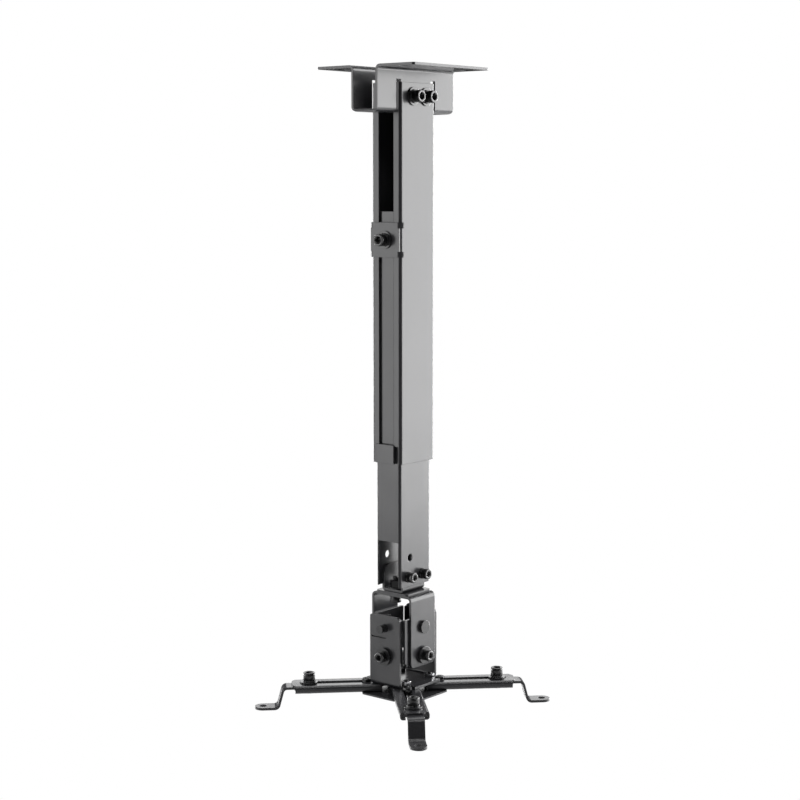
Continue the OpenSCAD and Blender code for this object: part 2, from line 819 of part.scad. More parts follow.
module lower_bracket() {
    wall_top = pivot_z + lower_rise;
    bend = head_sheet + 1.5;
    floor_side = lower_span / 2 - floor_inset;
    color(steel_black)
    difference() {
        union() {
            intersection() {
                along_y(lower_width)
                    u_section(lower_span / 2, -lower_drop, wall_top, head_sheet, bend);
                along_x(lower_span + 2)
                    translate([0, (wall_top - lower_drop) / 2 - 4])
                        rounded_rect(lower_width, wall_top + lower_drop + 8, 4);
            }
            translate([0, 0, -lower_drop])
                linear_extrude(height = head_sheet)
                    polygon([[-floor_end, -floor_reach], [floor_end, -floor_reach],
                             [floor_side, -lower_width / 2], [floor_side, lower_width / 2],
                             [floor_end, floor_reach], [-floor_end, floor_reach],
                             [-floor_side, lower_width / 2], [-floor_side, -lower_width / 2]]);
        }
        translate([0, 0, pivot_z])
            rotate([0, 90, 0])
                cylinder(r = stud_diameter / 2 + 0.05, h = lower_span + 2, center = true);
        translate([0, 0, lock_z])
            rotate([0, 90, 0])
                cylinder(r = shank_small / 2 + hole_play, h = lower_span + 2, center = true);
        // narrow slit beside the roll pin
        translate([-lower_span / 2 - 1, -slit_past, pivot_z - slit_below])
            cube([head_sheet + 2, slit_length, slit_height]);
        for (a = [45:90:315])
            rotate(a) {
                translate([arm_pivot, 0, -lower_drop - 1])
                    cylinder(r = shank_arm / 2 + 0.05, h = head_sheet + 2);
                // scoops that clear the arm lock nuts
                translate([arm_pivot, 0, 0])
                    for (b = [-arm_angle:arm_angle:arm_angle])
                        rotate(b)
                            translate([arm_lock - arm_pivot, 0, -lower_drop - 1])
                                cylinder(r = 4.5, h = head_sheet + 2);
            }
    }
}

module roll_pins() {
    color(washer_grey)
    for (s = [-1, 1])
        facing_x(s * lower_span / 2, 0, pivot_z, s) {
            translate([0, 0, -2 * head_sheet - 2 * face_gap])
                cylinder(d = stud_diameter, h = 2 * head_sheet + 2 * face_gap + stud_length);
            translate([0, 0, -2 * head_sheet - 2 * face_gap - pin_flange_height])
                cylinder(d = pin_flange, h = pin_flange_height);
        }
}

module roll_lock_bolts() {
    color(bolt_black)
    for (s = [-1, 1])
        facing_x(s * (lower_span / 2 + stack), 0, lock_z, s)
            cap_bolt(head_small, head_small_height, shank_small,
                     stack + 2 * head_sheet + 2 * face_gap + 6);
}

module roll_washers() {
    color(washer_grey)
    for (s = [-1, 1])
        facing_x(s * lower_span / 2, 0, lock_z, s)
            lock_washers();
}

module roll_nuts() {
    color(bolt_black)
    for (s = [-1, 1])
        facing_x(s * (cross_in_x - face_gap), 0, lock_z, -s)
            hex_nut(8, shank_small + 0.1, 4);
}

module center_plate() {
    corner = plate_half - plate_corner;
    color(steel_black)
    difference() {
        translate([0, 0, plate_under])
            linear_extrude(height = plate_sheet)
                polygon([[-corner, -plate_half], [corner, -plate_half], [plate_half, -corner],
                         [plate_half, corner], [corner, plate_half], [-corner, plate_half],
                         [-plate_half, corner], [-plate_half, -corner]]);
        for (a = [45:90:315])
            rotate(a)
                translate([arm_pivot, 0, plate_under - 1]) {
                    cylinder(r = shank_arm / 2 + 0.05, h = plate_sheet + 2);
                    arc_slot(arm_lock - arm_pivot, shank_arm / 2 + hole_play, 0, arm_angle,
                             plate_sheet + 2);
                }
    }
}

module arm_pivot_bolts() {
    color(bolt_black)
    for (a = [45:90:315])
        rotate(a)
            translate([arm_pivot, 0, plate_under])
                rotate([180, 0, 0])
                    low_bolt(7.6, 2.4, shank_arm, floor_top - plate_under + 4.2);
}

module arm_pivot_nuts() {
    color(washer_grey)
    for (a = [45:90:315])
        rotate(a)
            translate([arm_pivot, 0, floor_top])
                hex_nut(7, shank_arm + 0.1, 3.2);
}

// Arm channel along +x with its pivot bore, before it is turned to its corner
module arm_shape() {
    start = arm_pivot - 3;
    wall_end = arm_end - arm_nose;
    slot_start = arm_lock - arm_slot / 2;
    slot_last = arm_slot_end - arm_slot / 2;
    color(steel_black)
    difference() {
        union() {
            translate([(start + wall_end) / 2, 0, arm_top - arm_height / 2])
                along_x(wall_end - start)
                    difference() {
                        rounded_rect(arm_width, arm_height, arm_bend);
                        rounded_rect(arm_width - 2 * arm_sheet, arm_height - 2 * arm_sheet,
                                     arm_bend - arm_sheet);
                        translate([-arm_width / 2 + arm_sheet + arm_lip, -arm_height])
                            square([arm_width - 2 * arm_sheet - 2 * arm_lip, arm_height]);
                    }
            // flat nose with round corners
            translate([(start + arm_end) / 2, 0, arm_top - arm_sheet])
                linear_extrude(height = arm_sheet)
                    rounded_rect(arm_end - start, arm_width - 2 * arm_bend, nose_corner);
            translate([arm_pivot, 0, arm_top - arm_sheet])
                cylinder(d = arm_width - 0.2, h = arm_sheet);
        }
        translate([arm_pivot, 0, arm_top - arm_sheet - 1])
            cylinder(r = shank_arm / 2 + pin_play, h = arm_sheet + 2);
        for (x = [slot_start + arm_slot / 2, slot_last])
            translate([x, 0, arm_top - arm_sheet - 1])
                cylinder(d = arm_slot, h = arm_sheet + 2);
        translate([slot_start + arm_slot / 2, -arm_slot / 2, arm_top - arm_sheet - 1])
            cube([slot_last - slot_start - arm_slot / 2, arm_slot, arm_sheet + 2]);
    }
}

// Lock bolt and nut of an arm along +x
module arm_lock_shape() {
    color(bolt_black) {
        translate([arm_lock, 0, plate_under - face_gap])
            rotate([180, 0, 0])
                low_bolt(7.6, 2.4, shank_arm,
                         arm_top - plate_under + face_gap + arm_nut_height + 0.3);
    }
    color(washer_grey)
        translate([arm_lock, 0, arm_top])
            hex_nut(7, shank_arm, arm_nut_height);
}

// Side profile of the foot strip in x and z
module foot_profile() {
    outer_r = foot_radius + foot_sheet;
    leg_x = 3 * outer_r * cos(foot_slant);
    leg_z = 3 * outer_r * sin(foot_slant);
    translate([foot_bolt, foot_under])
        square([foot_bend, foot_sheet]);
    // upper bend
    translate([foot_bend_x, foot_high_z])
        intersection() {
            difference() {
                circle(r = outer_r);
                circle(r = foot_radius);
            }
            polygon([[0, 0], [0, 3 * outer_r], [3 * outer_r, 3 * outer_r], [leg_x, leg_z]]);
        }
    // leg, a hair thinner than the bends that it runs into
    translate([foot_bend_x, foot_high_z])
        rotate(foot_slant)
            translate([foot_radius + 0.05, -foot_leg - 0.3])
                square([foot_sheet - 0.1, foot_leg + 0.6]);
    // lower bend
    translate([foot_low_x, foot_low_z])
        intersection() {
            difference() {
                circle(r = outer_r);
                circle(r = foot_radius);
            }
            polygon([[0, 0], [0, -3 * outer_r], [-3 * outer_r, -3 * outer_r],
                     [-leg_x, -leg_z]]);
        }
    translate([foot_low_x, -foot_drop])
        square([foot_tab, foot_sheet]);
}

// Foot strip along +x: flat head, slanted leg and outward tab with its screw hole
module foot_shape() {
    color(steel_black)
    difference() {
        union() {
            translate([foot_bolt - foot_head_back, -foot_head_width / 2, foot_under])
                cube([foot_head_front + foot_head_back, foot_head_width, foot_sheet]);
            along_y(foot_width)
                foot_profile();
            // round end of the tab
            translate([foot_hole_x, 0, -foot_drop])
                cylinder(d = foot_width, h = foot_sheet);
        }
        translate([foot_hole_x, 0, -foot_drop - 1])
            cylinder(d = foot_hole, h = foot_sheet + 2);
        translate([foot_bolt, 0, foot_under - 1])
            cylinder(r = shank_large / 2 + hole_play, h = foot_sheet + 2);
    }
}

module foot_bolt_shape() {
    color(bolt_black)
    translate([foot_bolt, 0, arm_top + face_gap + stack])
        cap_bolt(head_large, head_large_height, shank_large,
                 face_gap + stack + arm_top - foot_under + foot_nut_height - 0.3);
}

module foot_washer_shape() {
    color(washer_grey)
    translate([foot_bolt, 0, arm_top + face_gap])
        large_washers();
}

module foot_nut_shape() {
    color(bolt_black)
    translate([foot_bolt, 0, foot_under - foot_nut_height])
        hex_nut(10, shank_large + 0.1, foot_nut_height);
}

module arm_left() rotate(angle_left) arm_shape();
module arm_right() rotate(angle_right) arm_shape();
module arm_front() rotate(angle_front) arm_shape();
module arm_back() rotate(angle_back) arm_shape();
module lock_bolt_left() rotate(angle_left) arm_lock_shape();
module lock_bolt_right() rotate(angle_right) arm_lock_shape();
module lock_bolt_front() rotate(angle_front) arm_lock_shape();
module lock_bolt_back() rotate(angle_back) arm_lock_shape();
module foot_left() rotate(angle_left) foot_shape();
module foot_right() rotate(angle_right) foot_shape();
module foot_front() rotate(angle_front) foot_shape();
module foot_back() rotate(angle_back) foot_shape();
module foot_bolt_left() rotate(angle_left) foot_bolt_shape();
module foot_bolt_right() rotate(angle_right) foot_bolt_shape();
module foot_bolt_front() rotate(angle_front) foot_bolt_shape();
module foot_bolt_back() rotate(angle_back) foot_bolt_shape();
module foot_washer_left() rotate(angle_left) foot_washer_shape();
module foot_washer_right() rotate(angle_right) foot_washer_shape();
module foot_washer_front() rotate(angle_front) foot_washer_shape();
module foot_washer_back() rotate(angle_back) foot_washer_shape();
module foot_nut_left() rotate(angle_left) foot_nut_shape();
module foot_nut_right() rotate(angle_right) foot_nut_shape();
module foot_nut_front() rotate(angle_front) foot_nut_shape();
module foot_nut_back() rotate(angle_back) foot_nut_shape();

ceiling_bracket();
outer_tube();
top_bolts();
top_washers();
top_nuts();
inner_tube();
clamp_plate();
clamp_bolt();
clamp_washer();
clamp_nut();
swivel_base();
base_bolts();
swivel_rivet();
spacer_plate();
yoke();
swivel_lock_bolt();
swivel_lock_washer();
swivel_lock_nut();
tilt_pins();
tilt_lock_bolts();
tilt_washers();
tilt_nuts();
cross_bracket();
lower_bracket();
roll_pins();
roll_lock_bolts();
roll_washers();
roll_nuts();
center_plate();
arm_pivot_bolts();
arm_pivot_nuts();
arm_left();
arm_right();
arm_front();
arm_back();
lock_bolt_left();
lock_bolt_right();
lock_bolt_front();
lock_bolt_back();
foot_left();
foot_right();
foot_front();
foot_back();
foot_bolt_left();
foot_bolt_right();
foot_bolt_front();
foot_bolt_back();
foot_washer_left();
foot_washer_right();
foot_washer_front();
foot_washer_back();
foot_nut_left();
foot_nut_right();
foot_nut_front();
foot_nut_back();
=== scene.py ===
import json
import math

import bmesh
import bpy
from mathutils import Matrix, Vector


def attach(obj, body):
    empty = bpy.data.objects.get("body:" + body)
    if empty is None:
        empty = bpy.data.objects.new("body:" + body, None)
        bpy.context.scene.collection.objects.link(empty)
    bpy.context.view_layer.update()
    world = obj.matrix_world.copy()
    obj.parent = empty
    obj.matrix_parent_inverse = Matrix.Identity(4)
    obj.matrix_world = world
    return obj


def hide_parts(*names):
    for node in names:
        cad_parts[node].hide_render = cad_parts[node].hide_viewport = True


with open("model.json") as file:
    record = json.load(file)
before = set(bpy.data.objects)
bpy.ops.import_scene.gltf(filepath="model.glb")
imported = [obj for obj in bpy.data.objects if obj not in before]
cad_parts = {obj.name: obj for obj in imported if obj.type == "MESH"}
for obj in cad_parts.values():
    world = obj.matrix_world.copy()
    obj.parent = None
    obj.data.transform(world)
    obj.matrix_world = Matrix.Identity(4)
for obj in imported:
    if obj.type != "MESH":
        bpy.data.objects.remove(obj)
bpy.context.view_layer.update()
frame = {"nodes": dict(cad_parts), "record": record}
nodes = frame["nodes"]
slotOf = {part["node"]: part["material_slot"] for part in frame["record"]["subparts"]}
bodyOf = {
    node: body
    for body, members in frame["record"]["behaviour"]["bodies"].items()
    for node in members
}
print("loaded", len(nodes), "nodes")

# What all the coats share: their shine, slow waves, change of tone and fine grain
coatSet = {
    "ior": 1.5,
    "waveDetail": 3.0,
    "waveRange": (0.3, 0.7),
    "toneGain": 1.35,
    "grainDetail": 2.0,
    "grainStrength": 0.35,
    "edgeSamples": 4,
}

paintSet = {
    "color": (0.022, 0.022, 0.024, 1.0),
    "roughness": 0.24,
    "roughnessSpread": 0.03,
    "grainSize": 2600.0,
    "grainDepth": 0.000006,
    "waveSize": 45.0,
    "edgeRadius": 0.0005,
}

boltSet = {
    "color": (0.008, 0.008, 0.0085, 1.0),
    "roughness": 0.12,
    "roughnessSpread": 0.03,
    "grainSize": 1400.0,
    "grainDepth": 0.00001,
    "waveSize": 120.0,
    "edgeRadius": 0.0003,
}

nutSet = {
    "color": (0.3, 0.3, 0.31, 1.0),
    "metallic": 1.0,
    "roughness": 0.16,
    "roughnessSpread": 0.05,
    "grainSize": 1400.0,
    "grainDepth": 0.000008,
    "waveSize": 200.0,
    "edgeRadius": 0.0002,
}

washerSet = {
    "color": (0.016, 0.016, 0.017, 1.0),
    "roughness": 0.14,
    "roughnessSpread": 0.04,
    "grainSize": 1800.0,
    "grainDepth": 0.000015,
    "waveSize": 160.0,
    "edgeRadius": 0.0004,
}


def linkNodes(tree, *pairs):
    for source, target in pairs:
        tree.links.new(source, target)


def coatedSteel(name, settings):
    material = bpy.data.materials.new(name)
    material.use_nodes = True
    tree = material.node_tree
    shader = tree.nodes["Principled BSDF"]
    place = tree.nodes.new("ShaderNodeTexCoord")
    shader.inputs["Metallic"].default_value = settings.get("metallic", 0.0)
    shader.inputs["IOR"].default_value = coatSet["ior"]

    # slow change of gloss over the sheet, as spraying leaves it
    wave = tree.nodes.new("ShaderNodeTexNoise")
    wave.inputs["Scale"].default_value = settings["waveSize"]
    wave.inputs["Detail"].default_value = coatSet["waveDetail"]
    glossRange = tree.nodes.new("ShaderNodeMapRange")
    spread = settings["roughnessSpread"]
    glossRange.inputs["From Min"].default_value = coatSet["waveRange"][0]
    glossRange.inputs["From Max"].default_value = coatSet["waveRange"][1]
    glossRange.inputs["To Min"].default_value = settings["roughness"] - spread
    glossRange.inputs["To Max"].default_value = settings["roughness"] + spread

    # faint change of tone
    tone = tree.nodes.new("ShaderNodeMix")
    tone.data_type = "RGBA"
    lighter = tuple(c * coatSet["toneGain"] for c in settings["color"][:3]) + (1.0,)
    tone.inputs[6].default_value = settings["color"]
    tone.inputs[7].default_value = lighter

    # fine orange-peel grain of the powder
    grain = tree.nodes.new("ShaderNodeTexNoise")
    grain.inputs["Scale"].default_value = settings["grainSize"]
    grain.inputs["Detail"].default_value = coatSet["grainDetail"]
    bump = tree.nodes.new("ShaderNodeBump")
    bump.inputs["Strength"].default_value = coatSet["grainStrength"]
    bump.inputs["Distance"].default_value = settings["grainDepth"]
    edge = tree.nodes.new("ShaderNodeBevel")
    edge.samples = coatSet["edgeSamples"]
    edge.inputs["Radius"].default_value = settings["edgeRadius"]

    linkNodes(
        tree,
        (place.outputs["Object"], wave.inputs["Vector"]),
        (place.outputs["Object"], grain.inputs["Vector"]),
        (wave.outputs["Fac"], glossRange.inputs["Value"]),
        (wave.outputs["Fac"], tone.inputs[0]),
        (tone.outputs[2], shader.inputs["Base Color"]),
        (glossRange.outputs["Result"], shader.inputs["Roughness"]),
        (grain.outputs["Fac"], bump.inputs["Height"]),
        (edge.outputs["Normal"], bump.inputs["Normal"]),
        (bump.outputs["Normal"], shader.inputs["Normal"]),
    )
    return material


finishes = {
    "black_paint": coatedSteel("blackPaint", paintSet),
    "black_bolt": coatedSteel("blackBolt", boltSet),
    "black_washer": coatedSteel("blackWasher", washerSet),
}
brightNut = coatedSteel("brightNut", nutSet)
for name, node in nodes.items():
    for materialSlot in node.material_slots:
        materialSlot.material = brightNut if name == "arm_pivot_nuts" else finishes[slotOf[name]]
print("materials set")

# Edges that turn by more than this angle stay sharp
sharpAngle = math.radians(32)

# A place is a point and the way the head looks
lookTurns = {
    "up": (0.0, 0.0, 0.0),
    "down": (math.pi, 0.0, 0.0),
    "-y": (math.pi / 2, 0.0, 0.0),
    "+y": (-math.pi / 2, 0.0, 0.0),
    "-x": (0.0, -math.pi / 2, 0.0),
    "+x": (0.0, math.pi / 2, 0.0),
}

# What all the screws and nuts share, in metres or as a share of a size
screwForm = {
    "sides": 36,
    "seatEdge": 0.0002,
    "tipChamfer": 0.0003,
    "tipLength": 0.0004,
    "rimRound": (0.3, 0.4),
    "socketFlare": 1.24,
    "socketBreak": 0.0003,
    "socketFloor": 0.45,
    "socketPoint": 0.0006,
    "ridgeTurn": math.pi / 4,
    "ridgeShare": 0.6,
    "ridgeSink": 0.72,
    "ridgeFoot": 0.0004,
    "ridgeShort": 0.0006,
    "threadSides": 28,
    "nutGap": 0.00002,
    "nutBreak": 0.0003,
    "nutRound": 0.98,
}

# Heights of the screws under the ceiling and their seats on the object, in metres
topBoltLevel = -0.0226
clampLevel = -0.1323
baseBoltLevel = -0.3987
swivelBoltLevel = -0.4151
lockLevel = -0.4621
armPivotLevel = -0.4943
armLockLevel = -0.4944
footBoltLevel = -0.4842
topBoltSeat = -0.017
clampBoltSeat = -0.0251
baseBoltSeat = -0.0135
tiltLockSeat = 0.0227
rollLockSeat = 0.026
baseBoltSide = 0.0088
swivelBoltSide = -0.0096
armPivotRadius = 0.021
armLockRadius = 0.0295
footBoltRadius = 0.076

largeScrew = {
    "headRadius": 0.0047,
    "headHeight": 0.006,
    "shankRadius": 0.003,
    "socketWidth": 0.005,
    "ridgeCount": 40,
    "threadDepth": 0.0004,
    "threadPitch": 0.001,
    "rimChamfer": 0.0004,
}

smallScrew = {
    "headRadius": 0.0043,
    "headHeight": 0.0054,
    "shankRadius": 0.0025,
    "socketWidth": 0.004,
    "ridgeCount": 36,
    "threadDepth": 0.00035,
    "threadPitch": 0.0008,
    "rimChamfer": 0.00035,
}

baseScrew = dict(smallScrew, headRadius=0.0041, collarRadius=0.0043, collarHeight=0.0013)

armScrew = {
    "headRadius": 0.0038,
    "headHeight": 0.0024,
    "shankRadius": 0.002,
    "socketWidth": 0.0025,
    "ridgeCount": 0,
    "threadDepth": 0.0003,
    "threadPitch": 0.0007,
    "rimChamfer": 0.0009,
}

screwSets = {
    "topBolts": {
        "node": "top_bolts",
        "screw": largeScrew,
        "length": 0.0385,
        "thread": 0.016,
        "places": [((x, topBoltSeat, topBoltLevel), "-y") for x in (-0.0055, 0.01)],
    },
    "clampBolt": {
        "node": "clamp_bolt",
        "screw": largeScrew,
        "length": 0.0145,
        "thread": 0.011,
        "places": [((clampBoltSeat, 0.0, clampLevel), "-x")],
    },
    "baseBolts": {
        "node": "base_bolts",
        "screw": baseScrew,
        "length": 0.0046,
        "thread": 0.0,
        "places": [((x, baseBoltSeat, baseBoltLevel), "-y") for x in (-baseBoltSide, baseBoltSide)],
    },
    "swivelLockBolt": {
        "node": "swivel_lock_bolt",
        "screw": smallScrew,
        "length": 0.0157,
        "thread": 0.0085,
        "places": [((swivelBoltSide, 0.0, swivelBoltLevel), "down")],
    },
    "tiltLockBolts": {
        "node": "tilt_lock_bolts",
        "screw": smallScrew,
        "length": 0.0127,
        "thread": 0.0055,
        "places": [((0.0, -tiltLockSeat, lockLevel), "-y"), ((0.0, tiltLockSeat, lockLevel), "+y")],
    },
    "rollLockBolts": {
        "node": "roll_lock_bolts",
        "screw": smallScrew,
        "length": 0.0127,
        "thread": 0.0055,
        "places": [((-rollLockSeat, 0.0, lockLevel), "-x"), ((rollLockSeat, 0.0, lockLevel), "+x")],
    },
    "armPivotBolts": {
        "node": "arm_pivot_bolts",
        "screw": armScrew,
        "length": 0.0138,
        "thread": 0.0045,
        "places": [
            ((armPivotRadius * math.cos(a), armPivotRadius * math.sin(a), armPivotLevel), "down")
            for a in (math.pi / 4, 3 * math.pi / 4, 5 * math.pi / 4, 7 * math.pi / 4)
        ],
    },
}

armTurns = {"left": 135, "right": -45, "front": -135, "back": 45}
for side, degrees in armTurns.items():
    outX = math.cos(math.radians(degrees))
    outY = math.sin(math.radians(degrees))
    screwSets["armLockBolt" + side.capitalize()] = {
        "node": "lock_bolt_" + side,
        "screw": armScrew,
        "length": 0.0105,
        "thread": 0.0032,
        "nut": {"width": 0.007, "top": -0.0076, "height": 0.0026, "turn": degrees},
        "places": [((armLockRadius * outX, armLockRadius * outY, armLockLevel), "down")],
    }
    screwSets["footBolt" + side.capitalize()] = {
        "node": "foot_bolt_" + side,
        "screw": largeScrew,
        "length": 0.0099,
        "thread": 0.0042,
        "places": [((footBoltRadius * outX, footBoltRadius * outY, footBoltLevel), "up")],
    }


def addObject(name, data):
    added = bpy.data.objects.new(name, data)
    bpy.context.scene.collection.objects.link(added)
    return added


def makePlain(piece):
    # the modifier's result becomes the piece's own mesh
    bpy.context.view_layer.update()
    seen = piece.evaluated_get(bpy.context.evaluated_depsgraph_get())
    mesh = bpy.data.meshes.new_from_object(seen)
    piece.modifiers.clear()
    piece.data = mesh


def addRings(bm, rings):
    # each ring is its outline, its half width and its height; the skin runs from first to last
    sides = screwForm["sides"]
    loops = []
    for outline, half, height in rings:
        loop = []
        for k in range(sides):
            angle = 2 * math.pi * k / sides
            radius = half
            if outline == "hex":
                radius = half / math.cos((angle + math.pi / 6) % (math.pi / 3) - math.pi / 6)
            loop.append(bm.verts.new((radius * math.cos(angle), radius * math.sin(angle), height)))
        loops.append(loop)
    for lower, upper in zip(loops, loops[1:]):
        for k in range(sides):
            n = (k + 1) % sides
            bm.faces.new((lower[k], lower[n], upper[n], upper[k]))
    return loops


def closeRing(bm, loop, height, upward):
    tip = bm.verts.new((0.0, 0.0, height))
    for k in range(len(loop)):
        n = (k + 1) % len(loop)
        pair = (loop[k], loop[n]) if upward else (loop[n], loop[k])
        bm.faces.new((tip,) + pair)


def screwMesh(name, settings):
    screw = settings["screw"]
    length, thread = settings["length"], settings["thread"]
    head, top = screw["headRadius"], screw["headHeight"]
    shank, rim = screw["shankRadius"], screw["rimChamfer"]
    core = shank - screw["threadDepth"] if thread else shank
    tip = screwForm["tipChamfer"]
    tipEnd = -length + screwForm["tipLength"]
    seat = screwForm["seatEdge"]
    rings = [("round", core - tip, -length), ("round", core, tipEnd)]
    if thread:
        rings += [("round", core, -length + thread), ("round", shank, -length + thread + tip)]
    if "collarRadius" in screw:
        collar = screw["collarRadius"]
        low = -screw["collarHeight"]
        rings += [("round", shank, low), ("round", collar - seat, low),
                  ("round", collar, low + seat), ("round", collar, -seat),
                  ("round", collar - seat, 0.0), ("round", head - tip, 0.0)]
    else:
        rings += [("round", shank, 0.0), ("round", head - seat, 0.0)]
    across, down = screwForm["rimRound"]
    rings += [("round", head, seat), ("round", head, top - rim),
              ("round", head - across * rim, top - down * rim), ("round", head - rim, top)]
    socket = screw["socketWidth"] / 2
    floor = top * screwForm["socketFloor"]
    rings += [("round", socket * screwForm["socketFlare"], top),
              ("hex", socket, top - screwForm["socketBreak"]), ("hex", socket, floor)]
    bm = bmesh.new()
    loops = addRings(bm, rings)
    closeRing(bm, loops[0], -length, False)
    closeRing(bm, loops[-1], floor - screwForm["socketPoint"], True)
    if "nut" in settings:
        nut = settings["nut"]
        half = nut["width"] / 2
        high = nut["top"]
        low = high - nut["height"]
        bore = core + screwForm["nutGap"]
        rounded = half * screwForm["nutRound"]
        nutBreak = screwForm["nutBreak"]
        walls = addRings(bm, [("round", bore, low), ("round", rounded, low),
                              ("hex", half, low + nutBreak), ("hex", half, high - nutBreak),
                              ("round", rounded, high), ("round", bore, high)])
        for k in range(len(walls[0])):
            n = (k + 1) % len(walls[0])
            bm.faces.new((walls[-1][k], walls[-1][n], walls[0][n], walls[0][k]))
    for edge in bm.edges:
        if len(edge.link_faces) == 2:
            edge.smooth = edge.calc_face_angle(0.0) < sharpAngle
    for skin in bm.faces:
        skin.smooth = True
    mesh = bpy.data.meshes.new(name)
    bm.to_mesh(mesh)
    bm.free()
    return mesh


def addNode(tree, kind, values=None, **options):
    node = tree.nodes.new(kind)
    for option, choice in options.items():
        setattr(node, option, choice)
    for label, value in (values or {}).items():
        node.inputs[label].default_value = value
    return node


def screwTree():
    tree = bpy.data.node_groups.new("knurledScrews", "GeometryNodeTree")
    tree.interface.new_socket("Geometry", in_out="INPUT", socket_type="NodeSocketGeometry")
    for label, kind in (
        ("Places", "NodeSocketObject"),
        ("Ridge Count", "NodeSocketInt"),
        ("Ridge Circle", "NodeSocketFloat"),
        ("Ridge Width", "NodeSocketFloat"),
        ("Ridge Length", "NodeSocketFloat"),
        ("Ridge Middle", "NodeSocketFloat"),
        ("Turn Count", "NodeSocketInt"),
        ("Turn Pitch", "NodeSocketFloat"),
        ("Turn Radius", "NodeSocketFloat"),
        ("Turn Core", "NodeSocketFloat"),
        ("Turn Start", "NodeSocketFloat"),
        ("Finish", "NodeSocketMaterial"),
    ):
        tree.interface.new_socket(label, in_out="INPUT", socket_type=kind)
    tree.interface.new_socket("Geometry", in_out="OUTPUT", socket_type="NodeSocketGeometry")
    given = tree.nodes.new("NodeGroupInput")
    result = tree.nodes.new("NodeGroupOutput")

    # knurl ridges stand on a circle round the head
    circle = addNode(tree, "GeometryNodeMeshCircle")
    lift = addNode(tree, "ShaderNodeCombineXYZ")
    raised = addNode(tree, "GeometryNodeTransform")
    ridgeSize = addNode(tree, "ShaderNodeCombineXYZ")
    ridge = addNode(tree, "GeometryNodeMeshCube")
    edgeOut = addNode(tree, "GeometryNodeTransform")
    edgeOut.inputs["Rotation"].default_value = (0.0, 0.0, screwForm["ridgeTurn"])
    place = addNode(tree, "GeometryNodeInputPosition")
    flat = addNode(tree, "ShaderNodeVectorMath", operation="MULTIPLY")
    flat.inputs[1].default_value = (1.0, 1.0, 0.0)
    outward = addNode(tree, "FunctionNodeAlignRotationToVector", axis="X")
    ridges = addNode(tree, "GeometryNodeInstanceOnPoints")

    # thread turns follow the shank
    turnStart = addNode(tree, "ShaderNodeCombineXYZ")
    turnStep = addNode(tree, "ShaderNodeCombineXYZ")
    line = addNode(tree, "GeometryNodeMeshLine")
    turn = addNode(tree, "GeometryNodeMeshCone", {"Vertices": screwForm["threadSides"]})
    turns = addNode(tree, "GeometryNodeInstanceOnPoints")

    # the finished screw goes to each of its places
    join = addNode(tree, "GeometryNodeJoinGeometry")
    spots = addNode(tree, "GeometryNodeObjectInfo")
    look = addNode(tree, "GeometryNodeInputNamedAttribute", {"Name": "look"}, data_type="FLOAT_VECTOR")
    lookTurn = addNode(tree, "FunctionNodeEulerToRotation")
    screws = addNode(tree, "GeometryNodeInstanceOnPoints")
    real = addNode(tree, "GeometryNodeRealizeInstances")
    paint = addNode(tree, "GeometryNodeSetMaterial")
    linkNodes(
        tree,
        (given.outputs["Ridge Count"], circle.inputs["Vertices"]),
        (given.outputs["Ridge Circle"], circle.inputs["Radius"]),
        (given.outputs["Ridge Middle"], lift.inputs["Z"]),
        (circle.outputs["Mesh"], raised.inputs["Geometry"]),
        (lift.outputs[0], raised.inputs["Translation"]),
        (given.outputs["Ridge Width"], ridgeSize.inputs["X"]),
        (given.outputs["Ridge Width"], ridgeSize.inputs["Y"]),
        (given.outputs["Ridge Length"], ridgeSize.inputs["Z"]),
        (ridgeSize.outputs[0], ridge.inputs["Size"]),
        (ridge.outputs["Mesh"], edgeOut.inputs["Geometry"]),
        (place.outputs[0], flat.inputs[0]),
        (flat.outputs[0], outward.inputs["Vector"]),
        (raised.outputs[0], ridges.inputs["Points"]),
        (edgeOut.outputs[0], ridges.inputs["Instance"]),
        (outward.outputs[0], ridges.inputs["Rotation"]),
        (given.outputs["Turn Start"], turnStart.inputs["Z"]),
        (given.outputs["Turn Pitch"], turnStep.inputs["Z"]),
        (given.outputs["Turn Count"], line.inputs["Count"]),
        (turnStart.outputs[0], line.inputs["Start Location"]),
        (turnStep.outputs[0], line.inputs["Offset"]),
        (given.outputs["Turn Core"], turn.inputs["Radius Top"]),
        (given.outputs["Turn Radius"], turn.inputs["Radius Bottom"]),
        (given.outputs["Turn Pitch"], turn.inputs["Depth"]),
        (line.outputs["Mesh"], turns.inputs["Points"]),
        (turn.outputs["Mesh"], turns.inputs["Instance"]),
        (given.outputs["Geometry"], join.inputs[0]),
        (ridges.outputs[0], join.inputs[0]),
        (turns.outputs[0], join.inputs[0]),
        (given.outputs["Places"], spots.inputs["Object"]),
        (spots.outputs["Geometry"], screws.inputs["Points"]),
        (join.outputs[0], screws.inputs["Instance"]),
        (look.outputs["Attribute"], lookTurn.inputs[0]),
        (lookTurn.outputs[0], screws.inputs["Rotation"]),
        (screws.outputs[0], real.inputs[0]),
        (real.outputs[0], paint.inputs["Geometry"]),
        (given.outputs["Finish"], paint.inputs["Material"]),
        (paint.outputs[0], result.inputs[0]),
    )
    return tree


